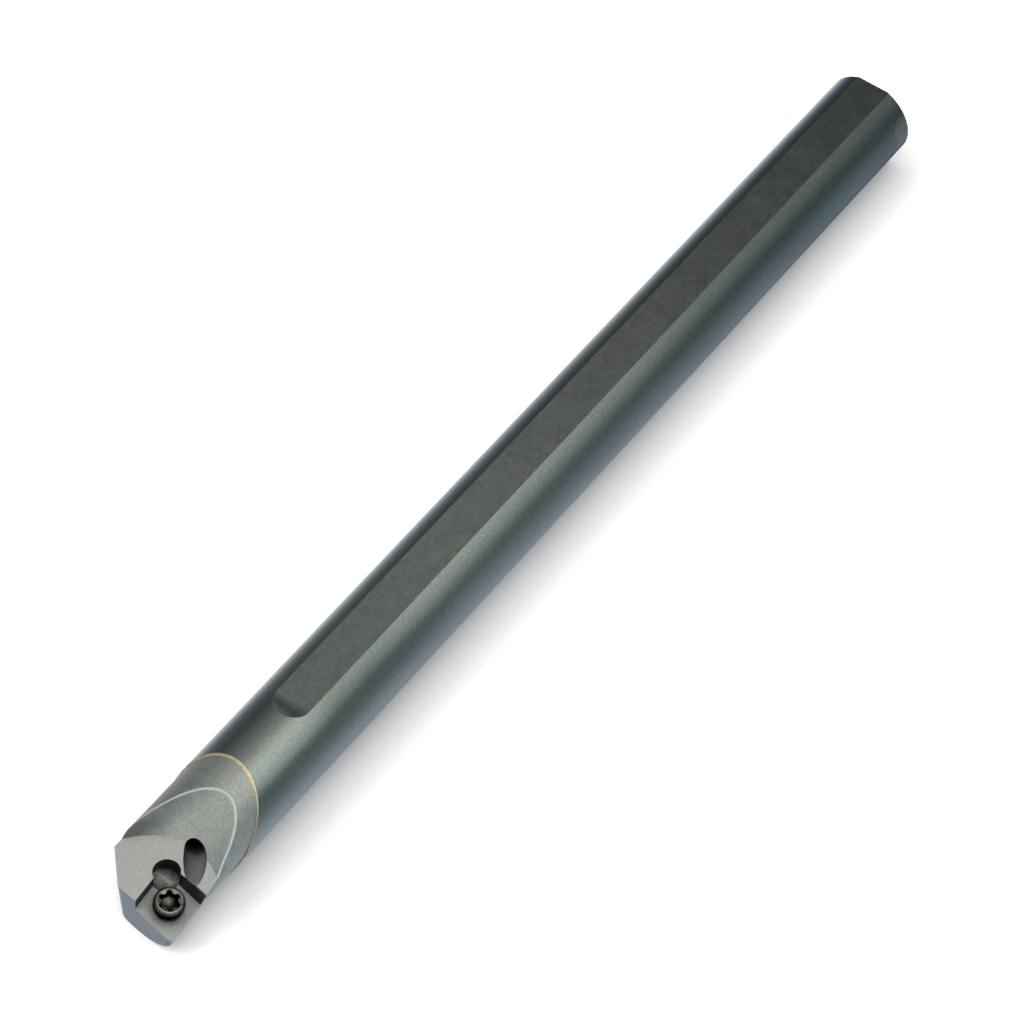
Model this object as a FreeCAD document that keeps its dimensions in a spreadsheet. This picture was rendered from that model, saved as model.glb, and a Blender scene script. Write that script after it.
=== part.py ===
import FreeCAD, Part
import Sketcher
import math
import os
from FreeCAD import Vector, Rotation, Placement

# Right-hand boring bar, 12 mm round shank with one clamping flat, brazed steel head
# with a tilted insert seat for an 80 degree rhombic insert (6.35 mm inscribed circle).
# Frame: origin at the centre of the shank's rear face, +X forward to the head,
# +Z out of the clamping flat, +Y towards the side that cuts. Millimetres.

doc = FreeCAD.newDocument("boring_bar")

# ---------------------------------------------------------------- dimensions
dims = doc.addObject("Spreadsheet::Sheet", "dims")
SIZES = [
    # shank
    ("shank_radius", 6.0),         # 12 mm ground shank
    ("flat_level", 5.5),           # clamping flat, 0.5 mm deep
    ("flat_length", 119.0),        # straight part of the flat
    ("flat_cutter", 6.3),          # radius left by the cutter where the flat runs out
    ("rear_chamfer", 0.1),           # edge just broken: the flat ends square
    ("coolant_radius", 1.5),       # coolant bore along the axis
    # slanted brazed joint: x = joint_place - joint_slope * z
    ("joint_place", 134.43),
    ("joint_slope", 0.88),
    ("braze_width", 0.24),         # along the axis; 0.18 mm square to the joint
    ("neck_radius", 5.83),         # the head is turned a little smaller than the ground shank
    # head
    ("head_datum", 133.0),         # head features are placed from here
    ("front_reach", 14.76),        # front clearance face, on the axis
    ("approach", 0.0875),          # tan 5 degrees, front face and seat sides
    ("corner_sum", 16.71),         # oblique corner face: dx - y = corner_sum
    ("corner_round", 1.3),
    ("top_level", 0.9),            # flat top in front of the gullet
    ("gullet_x", 14.214),          # circle on the flat top that bounds the gullet
    ("gullet_y", 1.305),
    ("gullet_radius", 8.309),
    ("gullet_rise", 7.0),          # the same wall 7 mm higher: moved back, aside, wider
    ("gullet_back", 7.854),
    ("gullet_side", 6.461),
    ("gullet_widening", 2.093),
    ("edge_break", 0.18),
    ("boss_radius", 6.22),         # fuller front part on the cutting side
    ("boss_y", 0.40),
    ("boss_z", 0.05),
    ("boss_start", 5.2),
    ("boss_full", 9.9),
    ("side_level", 5.213),         # side clearance face at dx = 0, z = 0
    ("side_slope", 0.10),
    ("side_relief", 0.349),
    # insert seat
    ("seat_x", 12.36),
    ("seat_y", 3.048),
    ("seat_z", -1.675),
    ("seat_tilt", 11.585),         # degrees about X, lower towards the cutting side
    ("seat_half", 2.90),           # from the screw's axis to each seat wall
    ("seat_draft", 5.0),           # degrees
    ("relief_u", -2.484),          # corner relief hole, in the seat's plane
    ("relief_v", -2.535),
    ("relief_radius", 1.6),
    ("relief_depth", 0.6),
    # coolant outlet
    ("outlet_x", 6.45),            # where its axis crosses the flat top's level
    ("outlet_y", 2.256),
    ("outlet_radius", 1.32),
    ("outlet_turn", 37.8),         # degrees from the bar's axis, seen from above
    ("outlet_drop", 20.15),        # degrees below level
    # clamping screw
    ("screw_hole", 1.27),
    ("screw_radius", 1.22),
    ("screw_crest", 1.80),
    ("screw_rim", 1.40),
    ("screw_rim_level", 2.40),
    ("screw_shoulder", 1.80),      # levels above the seat floor
    ("screw_skirt", 1.02),
    ("screw_tail", 3.8),           # below the seat floor
    ("socket_tip", 1.20),
    ("socket_root", 0.87),
    ("socket_depth", 1.25),
    ("socket_turn", 42.0),
]
for i, (name, value) in enumerate(SIZES):
    dims.set("A%d" % (i + 1), name)
    dims.set("B%d" % (i + 1), "%.4f" % value)
    dims.setAlias("B%d" % (i + 1), name)
doc.recompute()
P = dict((name, float(dims.get(name))) for name, value in SIZES)


# ------------------------------------------------------------------- helpers
def plane(body, role):
    for f in body.Origin.OriginFeatures:
        if f.Role == role:
            return f
    raise RuntimeError("no plane " + role)


def sketch(body, role, name, shift=None, turn=None):
    """A sketch on one of the body's own origin planes, moved in that plane's own frame."""
    sk = body.newObject("Sketcher::SketchObject", name)
    sk.AttachmentSupport = [(plane(body, role), "")]
    sk.MapMode = "FlatFace"
    if shift is not None or turn is not None:
        sk.AttachmentOffset = Placement(shift or Vector(), turn or Rotation())
    return sk


def pin_point(sk, geo, pos, x, y):
    """Fix a point at (value, expression) pairs measured from the sketch's origin."""
    for kind, (value, expr) in (("DistanceX", x), ("DistanceY", y)):
        if abs(value) < 1e-9:
            sk.addConstraint(Sketcher.Constraint("PointOnObject", geo, pos, -2 if kind == "DistanceX" else -1))
        elif value > 0:
            c = sk.addConstraint(Sketcher.Constraint(kind, -1, 1, geo, pos, value))
            if expr:
                sk.setExpression("Constraints[%d]" % c, expr)
        else:
            c = sk.addConstraint(Sketcher.Constraint(kind, geo, pos, -1, 1, -value))
            if expr:
                sk.setExpression("Constraints[%d]" % c, "-(" + expr + ")")


def circle(sk, x, y, r):
    g = sk.addGeometry(Part.Circle(Vector(x[0], y[0], 0), Vector(0, 0, 1), r[0]), False)
    c = sk.addConstraint(Sketcher.Constraint("Radius", g, r[0]))
    if r[1]:
        sk.setExpression("Constraints[%d]" % c, r[1])
    pin_point(sk, g, 3, x, y)
    return g


def polygon(sk, points):
    n = len(points)
    ids = []
    for i in range(n):
        a, b = points[i], points[(i + 1) % n]
        ids.append(sk.addGeometry(Part.LineSegment(Vector(a[0][0], a[1][0], 0), Vector(b[0][0], b[1][0], 0)), False))
    for i in range(n):
        sk.addConstraint(Sketcher.Constraint("Coincident", ids[i], 2, ids[(i + 1) % n], 1))
    for i in range(n):
        pin_point(sk, ids[i], 1, points[i][0], points[i][1])
    return ids


def n(value):
    return (value, "")


def cut(body, sk, name, length=None, expr=None, through=False, both=False, reverse=False, direction=None, taper=None):
    doc.recompute()
    before = body.Tip.Shape.Volume
    p = body.newObject("PartDesign::Pocket", name)
    p.Profile = sk
    if both:
        p.SideType = "Symmetric"
    if through:
        p.Type = "ThroughAll"
    else:
        p.Length = length
        if expr:
            p.setExpression("Length", expr)
    p.Reversed = reverse
    if direction is not None:
        p.UseCustomVector = True
        p.AlongSketchNormal = False
        p.Direction = direction
    if taper is not None:
        p.TaperAngle = taper
    body.Tip = p
    doc.recompute()
    after = p.Shape.Volume if not p.Shape.isNull() else 0.0
    print("%-18s %10.3f -> %10.3f  %s" % (name, before, after, " ".join(p.State)))
    if "Invalid" in sk.State or after <= 0.0 or after >= before:
        raise RuntimeError(name + ": the cut removed nothing or its sketch failed")
    return p


def pad(body, sk, name, length, expr=None, reverse=False, both=False):
    p = body.newObject("PartDesign::Pad", name)
    p.Profile = sk
    if both:
        p.SideType = "Symmetric"
    p.Length = length
    if expr:
        p.setExpression("Length", expr)
    p.Reversed = reverse
    body.Tip = p
    doc.recompute()
    print("%-18s volume %10.3f  %s" % (name, p.Shape.Volume, " ".join(p.State)))
    return p


R = P["shank_radius"]
NR = P["neck_radius"]
JX, JS, BW = P["joint_place"], P["joint_slope"], P["braze_width"]
HX = P["head_datum"]


def joint_wedge(body, name, rear, side):
    """Cut away what lies behind or in front of a plane parallel to the brazed joint.
    The sketch's x is X and its y is Z; rear is the plane's offset from the joint along X."""
    sk = sketch(body, "XZ_Plane", name + "_line")
    off = "" if rear == 0 else (" %+g * dims.braze_width" % rear)
    top = (JX + rear * BW - 8.0 * JS, "dims.joint_place - 8 * dims.joint_slope" + off)
    bot = (JX + rear * BW + 8.0 * JS, "dims.joint_place + 8 * dims.joint_slope" + off)
    far = n(175.0) if side == "front" else n(100.0)
    polygon(sk, [(top, n(8.0)), (bot, n(-8.0)), (far, n(-8.0)), (far, n(8.0))])
    return cut(body, sk, name, length=30.0, both=True)


# --------------------------------------------------------------------- shank
# Heavy ground bar. The rear face is chamfered, and the front is ground off slanting
# to give the brazed joint more area.
shank = doc.addObject("PartDesign::Body", "shank")
shank.Label = "shank"
# the circle starts 45 degrees below +Y, so that its seam keeps clear of the flat
sk = sketch(shank, "YZ_Plane", "shank_circle", Vector(), Rotation(Vector(0, 0, 1), -45))
circle(sk, n(0), n(0), (R, "dims.shank_radius"))
pad(shank, sk, "shank_bar", 144.0)

sk = sketch(shank, "XZ_Plane", "flat_side")
F, FL, FC = P["flat_level"], P["flat_length"], P["flat_cutter"]
run = math.sqrt(FC ** 2 - (FC - 1.5) ** 2)
a = sk.addGeometry(Part.LineSegment(Vector(-2, F, 0), Vector(FL, F, 0)), False)
ang = math.asin(run / FC)
arc = Part.ArcOfCircle(Part.Circle(Vector(FL, F + FC, 0), Vector(0, 0, 1), FC), -math.pi / 2, -math.pi / 2 + ang)
b = sk.addGeometry(arc, False)
c = sk.addGeometry(Part.LineSegment(Vector(FL + run, F + 1.5, 0), Vector(-2, F + 1.5, 0)), False)
d = sk.addGeometry(Part.LineSegment(Vector(-2, F + 1.5, 0), Vector(-2, F, 0)), False)
sk.addConstraint(Sketcher.Constraint("Coincident", b, 2, c, 1))
sk.addConstraint(Sketcher.Constraint("Coincident", c, 2, d, 1))
sk.addConstraint(Sketcher.Constraint("Coincident", d, 2, a, 1))
sk.addConstraint(Sketcher.Constraint("Horizontal", a))
sk.addConstraint(Sketcher.Constraint("Horizontal", c))
sk.addConstraint(Sketcher.Constraint("Vertical", d))
sk.addConstraint(Sketcher.Constraint("Tangent", a, 2, b, 1))
k = sk.addConstraint(Sketcher.Constraint("Radius", b, FC))
sk.setExpression("Constraints[%d]" % k, "dims.flat_cutter")
pin_point(sk, a, 2, (FL, "dims.flat_length"), (F, "dims.flat_level"))
sk.addConstraint(Sketcher.Constraint("DistanceX", d, 1, -1, 1, 2.0))
sk.addConstraint(Sketcher.Constraint("DistanceY", a, 1, c, 2, 1.5))
cut(shank, sk, "clamping_flat", length=20.0, both=True)

sk = sketch(shank, "YZ_Plane", "bore_circle")
circle(sk, n(0), n(0), (P["coolant_radius"], "dims.coolant_radius"))
cut(shank, sk, "coolant_bore", length=170.0, reverse=True)

joint_wedge(shank, "joint_front", -0.5, "front")

# rear chamfer, turned: a groove with a triangular section
sk = sketch(shank, "XY_Plane", "chamfer_side")
CH = P["rear_chamfer"]
polygon(sk, [(n(0), (R - CH, "dims.shank_radius - dims.rear_chamfer")),
             ((CH + 0.6, "dims.rear_chamfer + 0.6"), (R + 0.6, "dims.shank_radius + 0.6")),
             (n(0), (R + 0.6, "dims.shank_radius + 0.6"))])
before = shank.Tip.Shape.Volume
g = shank.newObject("PartDesign::Groove", "rear_chamfer")
g.Profile = sk
g.ReferenceAxis = (sk, ["H_Axis"])
g.Angle = 360.0
shank.Tip = g
doc.recompute()
print("rear_chamfer", before, "->", g.Shape.Volume, g.State)

# --------------------------------------------------------------------- braze
# The thin slanted layer of brazing metal, with the coolant hole through it.
braze = doc.addObject("PartDesign::Body", "braze")
braze.Label = "braze"
sk = sketch(braze, "YZ_Plane", "braze_circle", Vector(0, 0, 120.0))
circle(sk, n(0), n(0), (NR, "dims.neck_radius"))
circle(sk, n(0), n(0), (P["coolant_radius"], "dims.coolant_radius"))
pad(braze, sk, "braze_slug", 30.0)
joint_wedge(braze, "braze_rear", -0.5, "rear")
joint_wedge(braze, "braze_front", 0.5, "front")

# ---------------------------------------------------------------------- head
# Steel head. The front part is a little fuller on the cutting side, so that the
# side clearance face can stand outside the shank's circle.
head = doc.addObject("PartDesign::Body", "head")
head.Label = "head"
X1, X2 = HX + P["boss_start"], HX + P["boss_full"]


def at_x(name, alias, place):
    s = sketch(head, "YZ_Plane", name, Vector(0, 0, place))
    s.setExpression("AttachmentOffset.Base.z", "(dims.head_datum + dims.%s) * 1 mm" % alias)
    return s


s1 = at_x("boss_begin", "boss_start", X1)
circle(s1, n(0), n(0), (NR - 0.01, "dims.neck_radius - 0.01"))
s2 = at_x("boss_whole", "boss_full", X2)
circle(s2, (P["boss_y"], "dims.boss_y"), (P["boss_z"], "dims.boss_z"), (P["boss_radius"], "dims.boss_radius"))
loft = head.newObject("PartDesign::AdditiveLoft", "boss_flare")
loft.Profile = s1
loft.Sections = [s2]
loft.Ruled = True
head.Tip = loft
doc.recompute()
print("boss_flare", loft.Shape.Volume, loft.State)
s3 = at_x("boss_circle", "boss_full", X2)
circle(s3, (P["boss_y"], "dims.boss_y"), (P["boss_z"], "dims.boss_z"), (P["boss_radius"], "dims.boss_radius"))
pad(head, s3, "boss_round", 8.0)

# side clearance face: a plane that leans in below and runs out along the bar
SL, SS, SR = P["side_level"], P["side_slope"], P["side_relief"]
sk = sketch(head, "XY_Plane", "side_line")
xa, xb = HX - 4.0, HX + 24.0
polygon(sk, [((xa, "dims.head_datum - 4"), (SL + SS * -4.0, "dims.side_level - 4 * dims.side_slope")),
             ((xb, "dims.head_datum + 24"), (SL + SS * 24.0, "dims.side_level + 24 * dims.side_slope")),
             ((xb, "dims.head_datum + 24"), n(16.0)),
             ((xa, "dims.head_datum - 4"), n(16.0))])
cut(head, sk, "side_clearance", length=20.0, both=True, direction=Vector(0, SR, 1))

# round neck, turned, as slim at the front as at the joint
sk = sketch(head, "XY_Plane", "neck_profile")
polygon(sk, [(n(126.0), n(0)),
             (n(126.0), (NR, "dims.neck_radius")),
             (n(149.5), (NR, "dims.neck_radius")),
             (n(149.5), n(0))])
before = head.Tip.Shape.Volume
neck = head.newObject("PartDesign::Revolution", "neck")
neck.Profile = sk
neck.ReferenceAxis = (sk, ["H_Axis"])
neck.Angle = 360.0
head.Tip = neck
doc.recompute()
print("neck", before, "->", neck.Shape.Volume, neck.State)
joint_wedge(head, "joint_rear", 0.5, "rear")

# gullet and flat top: a wall round at the back and straight out at the front, that leans
# back and widens with height
def gullet_line(name, rise, share):
    gx = HX + P["gullet_x"] - share * P["gullet_back"]
    gy = P["gullet_y"] + share * P["gullet_side"]
    gr = P["gullet_radius"] + share * P["gullet_widening"]
    s = sketch(head, "XY_Plane", name, Vector(0, 0, P["top_level"] + rise))
    s.setExpression("AttachmentOffset.Base.z", "(dims.top_level + %d * dims.gullet_rise) * 1 mm" % share)
    ga = s.addGeometry(Part.ArcOfCircle(Part.Circle(Vector(gx, gy, 0), Vector(0, 0, 1), gr), math.pi / 2, 3 * math.pi / 2), False)
    gb = s.addGeometry(Part.LineSegment(Vector(gx, gy - gr, 0), Vector(gx + 14, gy - gr, 0)), False)
    gc = s.addGeometry(Part.LineSegment(Vector(gx + 14, gy - gr, 0), Vector(gx + 14, gy + gr, 0)), False)
    gd = s.addGeometry(Part.LineSegment(Vector(gx + 14, gy + gr, 0), Vector(gx, gy + gr, 0)), False)
    s.addConstraint(Sketcher.Constraint("Tangent", ga, 2, gb, 1))
    s.addConstraint(Sketcher.Constraint("Coincident", gb, 2, gc, 1))
    s.addConstraint(Sketcher.Constraint("Coincident", gc, 2, gd, 1))
    s.addConstraint(Sketcher.Constraint("Tangent", gd, 2, ga, 1))
    s.addConstraint(Sketcher.Constraint("Horizontal", gb))
    s.addConstraint(Sketcher.Constraint("Vertical", gc))
    s.addConstraint(Sketcher.Constraint("Horizontal", gd))
    s.addConstraint(Sketcher.Constraint("DistanceX", gb, 1, gb, 2, 14.0))
    c = s.addConstraint(Sketcher.Constraint("Radius", ga, gr))
    s.setExpression("Constraints[%d]" % c, "dims.gullet_radius + %d * dims.gullet_widening" % share)
    pin_point(s, ga, 3, (gx, "dims.head_datum + dims.gullet_x - %d * dims.gullet_back" % share),
              (gy, "dims.gullet_y + %d * dims.gullet_side" % share))
    return s


low = gullet_line("gullet_low", 0.0, 0)
high = gullet_line("gullet_high", P["gullet_rise"], 1)
doc.recompute()
before = head.Tip.Shape.Volume
gl = head.newObject("PartDesign::SubtractiveLoft", "gullet")
gl.Profile = low
gl.Sections = [high]
gl.Ruled = True
head.Tip = gl
doc.recompute()
print("gullet", before, "->", gl.Shape.Volume, gl.State)
if gl.Shape.Volume >= before:
    raise RuntimeError("gullet: nothing removed")

# front clearance face, square up and down, and the oblique corner beside it
FR, AP, CS, CR = P["front_reach"], P["approach"], P["corner_sum"], P["corner_round"]
yc = (FR - CS) / (1.0 - AP)
xc = HX + FR + AP * yc
# rounding between the two faces: tangent length from the corner
turn = math.radians(45.0) - math.atan(AP)
tl = CR * math.tan(turn / 2.0)
d1 = Vector(AP, 1.0, 0).normalize()
d2 = Vector(-1.0, -1.0, 0).normalize()
pc = Vector(xc, yc, 0)
q1 = pc + d1 * tl
q2 = pc + d2 * tl
nrm = Vector(-d1.y, d1.x, 0)
cc = q1 + nrm * CR
ang1 = math.atan2(q1.y - cc.y, q1.x - cc.x)
ang2 = math.atan2(q2.y - cc.y, q2.x - cc.x)
e1 = Vector(HX + FR + AP * 9.0, 9.0, 0)
yl = -9.0
e2 = Vector(HX + CS + yl, yl, 0)
sk = sketch(head, "XY_Plane", "front_lines")
g0 = sk.addGeometry(Part.LineSegment(q1, e1), False)
g1 = sk.addGeometry(Part.LineSegment(e1, Vector(HX + 30, 9.0, 0)), False)
g2 = sk.addGeometry(Part.LineSegment(Vector(HX + 30, 9.0, 0), Vector(HX + 30, yl, 0)), False)
g3 = sk.addGeometry(Part.LineSegment(Vector(HX + 30, yl, 0), e2), False)
g4 = sk.addGeometry(Part.LineSegment(e2, q2), False)
g5 = sk.addGeometry(Part.ArcOfCircle(Part.Circle(cc, Vector(0, 0, 1), CR), ang2, ang1), False)
for i, j in ((g0, g1), (g1, g2), (g2, g3), (g3, g4)):
    sk.addConstraint(Sketcher.Constraint("Coincident", i, 2, j, 1))
sk.addConstraint(Sketcher.Constraint("Tangent", g4, 2, g5, 1))
sk.addConstraint(Sketcher.Constraint("Tangent", g5, 2, g0, 1))
k = sk.addConstraint(Sketcher.Constraint("Radius", g5, CR))
sk.setExpression("Constraints[%d]" % k, "dims.corner_round")
sk.addConstraint(Sketcher.Constraint("Horizontal", g1))
sk.addConstraint(Sketcher.Constraint("Vertical", g2))
sk.addConstraint(Sketcher.Constraint("Horizontal", g3))
pin_point(sk, g0, 2, (e1.x, "dims.head_datum + dims.front_reach + 9 * dims.approach"), n(9.0))
pin_point(sk, g3, 2, (e2.x, "dims.head_datum + dims.corner_sum - 9"), n(yl))
k = sk.addConstraint(Sketcher.Constraint("Angle", -1, 1, g4, 1, math.radians(45.0)))
k = sk.addConstraint(Sketcher.Constraint("Angle", -1, 1, g0, 1, math.pi / 2 - math.atan(AP)))
sk.setExpression("Constraints[%d]" % k, "90 deg - atan(dims.approach)")
k = sk.addConstraint(Sketcher.Constraint("DistanceX", -1, 1, g2, 1, HX + 30))
sk.setExpression("Constraints[%d]" % k, "dims.head_datum + 30")
cut(head, sk, "front_faces", length=30.0, both=True)

# small nose clearance at the seat's outer corner, leaning in below
sk = sketch(head, "XY_Plane", "nose_line")
nz = -2.25
nx, ny = HX + 15.215, 5.22
polygon(sk, [((nx, "dims.head_datum + 15.215"), (ny - 0.41 * nz, "")),
             ((nx - 0.105, "dims.head_datum + 15.11"), (ny + 0.69 - 0.41 * nz, "")),
             ((nx - 0.75, "dims.head_datum + 14.465"), (ny + 1.6 - 0.41 * nz, "")),
             ((nx + 3.0, "dims.head_datum + 18.215"), (ny + 1.6 - 0.41 * nz, "")),
             ((nx + 3.0, "dims.head_datum + 18.215"), (ny - 0.41 * nz, ""))])
cut(head, sk, "nose_clearance", length=16.0, both=True, direction=Vector(0.0, 0.41, 1))

# ---- insert seat, in its own tilted plane: the tilt is a positive angle about -X
seat_origin = Vector(HX + P["seat_x"], P["seat_y"], P["seat_z"])
seat_turn = Rotation(Vector(-1, 0, 0), P["seat_tilt"])
seat_axis = seat_turn.multVec(Vector(0, 0, 1))


def seat_sketch(body, name, lift=0.0):
    s = sketch(body, "XY_Plane", name, seat_origin + seat_axis * lift, seat_turn)
    s.setExpression("AttachmentOffset.Base.x", "(dims.head_datum + dims.seat_x) * 1 mm")
    if lift == 0.0:
        s.setExpression("AttachmentOffset.Base.y", "dims.seat_y * 1 mm")
        s.setExpression("AttachmentOffset.Base.z", "dims.seat_z * 1 mm")
    s.setExpression("AttachmentOffset.Rotation.Angle", "dims.seat_tilt * 1 deg")
    return s


SH = P["seat_half"]
w0 = SH / math.cos(math.atan(AP))
corner = -w0 / (1.0 - AP)
w0e = "dims.seat_half * sqrt(1 + dims.approach ^ 2)"
ce = "(-" + w0e + " / (1 - dims.approach))"
sk = seat_sketch(head, "seat_rhombus")
polygon(sk, [((corner, ce), (corner, ce)),
             (n(7.0), (-w0 + AP * 7.0, "-" + w0e + " + 7 * dims.approach")),
             (n(7.0), n(7.0)),
             ((-w0 + AP * 7.0, "-" + w0e + " + 7 * dims.approach"), n(7.0))])
cut(head, sk, "insert_seat", length=9.0, reverse=True, taper=P["seat_draft"])

sk = seat_sketch(head, "relief_circle", -P["relief_depth"])
circle(sk, (P["relief_u"], "dims.relief_u"), (P["relief_v"], "dims.relief_v"), (P["relief_radius"], "dims.relief_radius"))
cut(head, sk, "corner_relief", length=9.0, reverse=True)

sk = seat_sketch(head, "screw_hole_circle")
circle(sk, n(0), n(0), (P["screw_hole"], "dims.screw_hole"))
cut(head, sk, "screw_hole", length=12.0)

# ---- coolant passage: along the axis, then the slanting outlet drilled from the gullet
sk = sketch(head, "YZ_Plane", "passage_circle", Vector(0, 0, 124.0))
circle(sk, n(0), n(0), (P["coolant_radius"], "dims.coolant_radius"))
cut(head, sk, "coolant_passage", length=HX + 3.6 - 124.0, expr="dims.head_datum + 3.6 - 124", reverse=True)

od = math.radians(P["outlet_drop"])
ot = math.radians(P["outlet_turn"])
out_dir = Vector(math.cos(od) * math.cos(ot), math.cos(od) * math.sin(ot), math.sin(od))
mouth = Vector(HX + P["outlet_x"], P["outlet_y"], P["top_level"])
start = mouth - out_dir * 4.0
before = head.Tip.Shape.Volume
sub = head.newObject("PartDesign::SubtractiveCylinder", "coolant_outlet")
sub.AttachmentSupport = [(plane(head, "XY_Plane"), "")]
sub.MapMode = "FlatFace"
sub.AttachmentOffset = Placement(start, Rotation(Vector(0, 0, 1), out_dir))
sub.Radius = P["outlet_radius"]
sub.setExpression("Radius", "dims.outlet_radius")
sub.Height = 12.0
head.Tip = sub
doc.recompute()
print("coolant_outlet", before, "->", sub.Shape.Volume, sub.State)


# the gullet's outer edge is broken all the way round
def on_gullet_edge(p):
    share = (p.z - P["top_level"]) / P["gullet_rise"]
    cx = HX + P["gullet_x"] - share * P["gullet_back"]
    cy = P["gullet_y"] + share * P["gullet_side"]
    cr = P["gullet_radius"] + share * P["gullet_widening"]
    wall = abs(p.y - (cy - cr)) if p.x > cx else abs(math.hypot(p.x - cx, p.y - cy) - cr)
    return p.z > P["top_level"] - 0.01 and wall < 0.02 and math.hypot(p.y, p.z) > NR - 0.05


names = []
for i, e in enumerate(sub.Shape.Edges):
    span = e.LastParameter - e.FirstParameter
    if all(on_gullet_edge(e.valueAt(e.FirstParameter + f * span)) for f in (0.05, 0.3, 0.5, 0.7, 0.95)):
        names.append("Edge%d" % (i + 1))
print("gullet edge:", names)
before = sub.Shape.Volume
edge = head.newObject("PartDesign::Chamfer", "gullet_edge")
edge.Base = (sub, names)
edge.Size = P["edge_break"]
edge.setExpression("Size", "dims.edge_break")
head.Tip = edge
doc.recompute()
print("gullet_edge", before, "->", edge.Shape.Volume, edge.State)
if not edge.Shape.isValid() or edge.Shape.Volume >= before:
    raise RuntimeError("gullet_edge: failed")

# -------------------------------------------------------------- clamping screw
# Turned about its own axis; the level 0 is the seat floor. The fine thread is left
# to the visual model: here the shank is its outer cylinder.
screw = doc.addObject("PartDesign::Body", "clamp_screw")
screw.Label = "clamp_screw"
sk = sketch(screw, "XZ_Plane", "screw_profile")
SRm, RL = P["screw_rim"], P["screw_rim_level"]
CRs, SHo, SK = P["screw_crest"], P["screw_shoulder"], P["screw_skirt"]
SRd, TL = P["screw_radius"], P["screw_tail"]
cone = (CRs - SRd) / math.tan(math.radians(30.0))
pts = [
    (n(0), (-TL, "-dims.screw_tail")),
    ((SRd - 0.3, "dims.screw_radius - 0.3"), (-TL, "-dims.screw_tail")),
    ((SRd, "dims.screw_radius"), (-TL + 0.3, "-dims.screw_tail + 0.3")),
    ((SRd, "dims.screw_radius"), (SK - cone, "dims.screw_skirt - (dims.screw_crest - dims.screw_radius) / tan(30 deg)")),
    ((CRs, "dims.screw_crest"), (SK, "dims.screw_skirt")),
    ((CRs, "dims.screw_crest"), (SHo, "dims.screw_shoulder")),
    ((SRm + 0.5 * (CRs - SRm) + 0.07, "0.5 * dims.screw_rim + 0.5 * dims.screw_crest + 0.07"),
     (SHo + 0.62 * (RL - SHo), "0.38 * dims.screw_shoulder + 0.62 * dims.screw_rim_level")),
    ((SRm, "dims.screw_rim"), (RL, "dims.screw_rim_level")),
    (n(0), (RL, "dims.screw_rim_level")),
]
polygon(sk, pts)
rev = screw.newObject("PartDesign::Revolution", "screw_turned")
rev.Profile = sk
rev.ReferenceAxis = (sk, ["V_Axis"])
rev.Angle = 360.0
screw.Tip = rev
doc.recompute()
print("screw_turned", rev.Shape.Volume, rev.State)

# six-lobed socket: tip arcs and the hollow arcs between them, tangent to each other
At, Bt = P["socket_tip"], P["socket_root"]
re = 0.165 * At
ct = At - re
kk = math.cos(math.radians(30.0))
ri = (re ** 2 - Bt ** 2 - ct ** 2 + 2 * ct * kk * Bt) / (2.0 * (Bt - ct * kk - re))
sk = sketch(screw, "XY_Plane", "socket_outline", Vector(0, 0, RL))
sk.setExpression("AttachmentOffset.Base.z", "dims.screw_rim_level * 1 mm")
tips, roots = [], []
for i in range(6):
    a0 = math.radians(P["socket_turn"] + 60.0 * i)
    a1 = a0 + math.radians(30.0)
    tips.append((Vector(ct * math.cos(a0), ct * math.sin(a0), 0), a0))
    roots.append((Vector((Bt + ri) * math.cos(a1), (Bt + ri) * math.sin(a1), 0), a1))
geos = []
for i in range(6):
    tc, a0 = tips[i]
    rc, a1 = roots[i]
    rp = roots[i - 1][0]
    ts = math.atan2(rp.y - tc.y, rp.x - tc.x)
    te = math.atan2(rc.y - tc.y, rc.x - tc.x)
    geos.append(sk.addGeometry(Part.ArcOfCircle(Part.Circle(tc, Vector(0, 0, 1), re), ts, te), False))
    nt = tips[(i + 1) % 6][0]
    rs = math.atan2(nt.y - rc.y, nt.x - rc.x)
    ren = math.atan2(tc.y - rc.y, tc.x - rc.x)
    geos.append(sk.addGeometry(Part.ArcOfCircle(Part.Circle(rc, Vector(0, 0, 1), ri), rs, ren), False))
for gidx in geos:
    sk.addConstraint(Sketcher.Constraint("Block", gidx))
cut(screw, sk, "socket", length=P["socket_depth"], expr="dims.socket_depth")
# the socket's floor is left by a drill point
sk = sketch(screw, "XZ_Plane", "socket_floor")
z0 = RL - P["socket_depth"]
polygon(sk, [(n(0), (z0 + 0.05, "dims.screw_rim_level - dims.socket_depth + 0.05")),
             ((Bt - 0.05, "dims.socket_root - 0.05"), (z0 + 0.05, "dims.screw_rim_level - dims.socket_depth + 0.05")),
             (n(0), (z0 - 0.45, "dims.screw_rim_level - dims.socket_depth - 0.45"))])
gr = screw.newObject("PartDesign::Groove", "socket_point")
gr.Profile = sk
gr.ReferenceAxis = (sk, ["V_Axis"])
gr.Angle = 360.0
screw.Tip = gr
screw.Placement = Placement(seat_origin, seat_turn)
doc.recompute()
print("socket_point", gr.Shape.Volume, gr.State)

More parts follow.
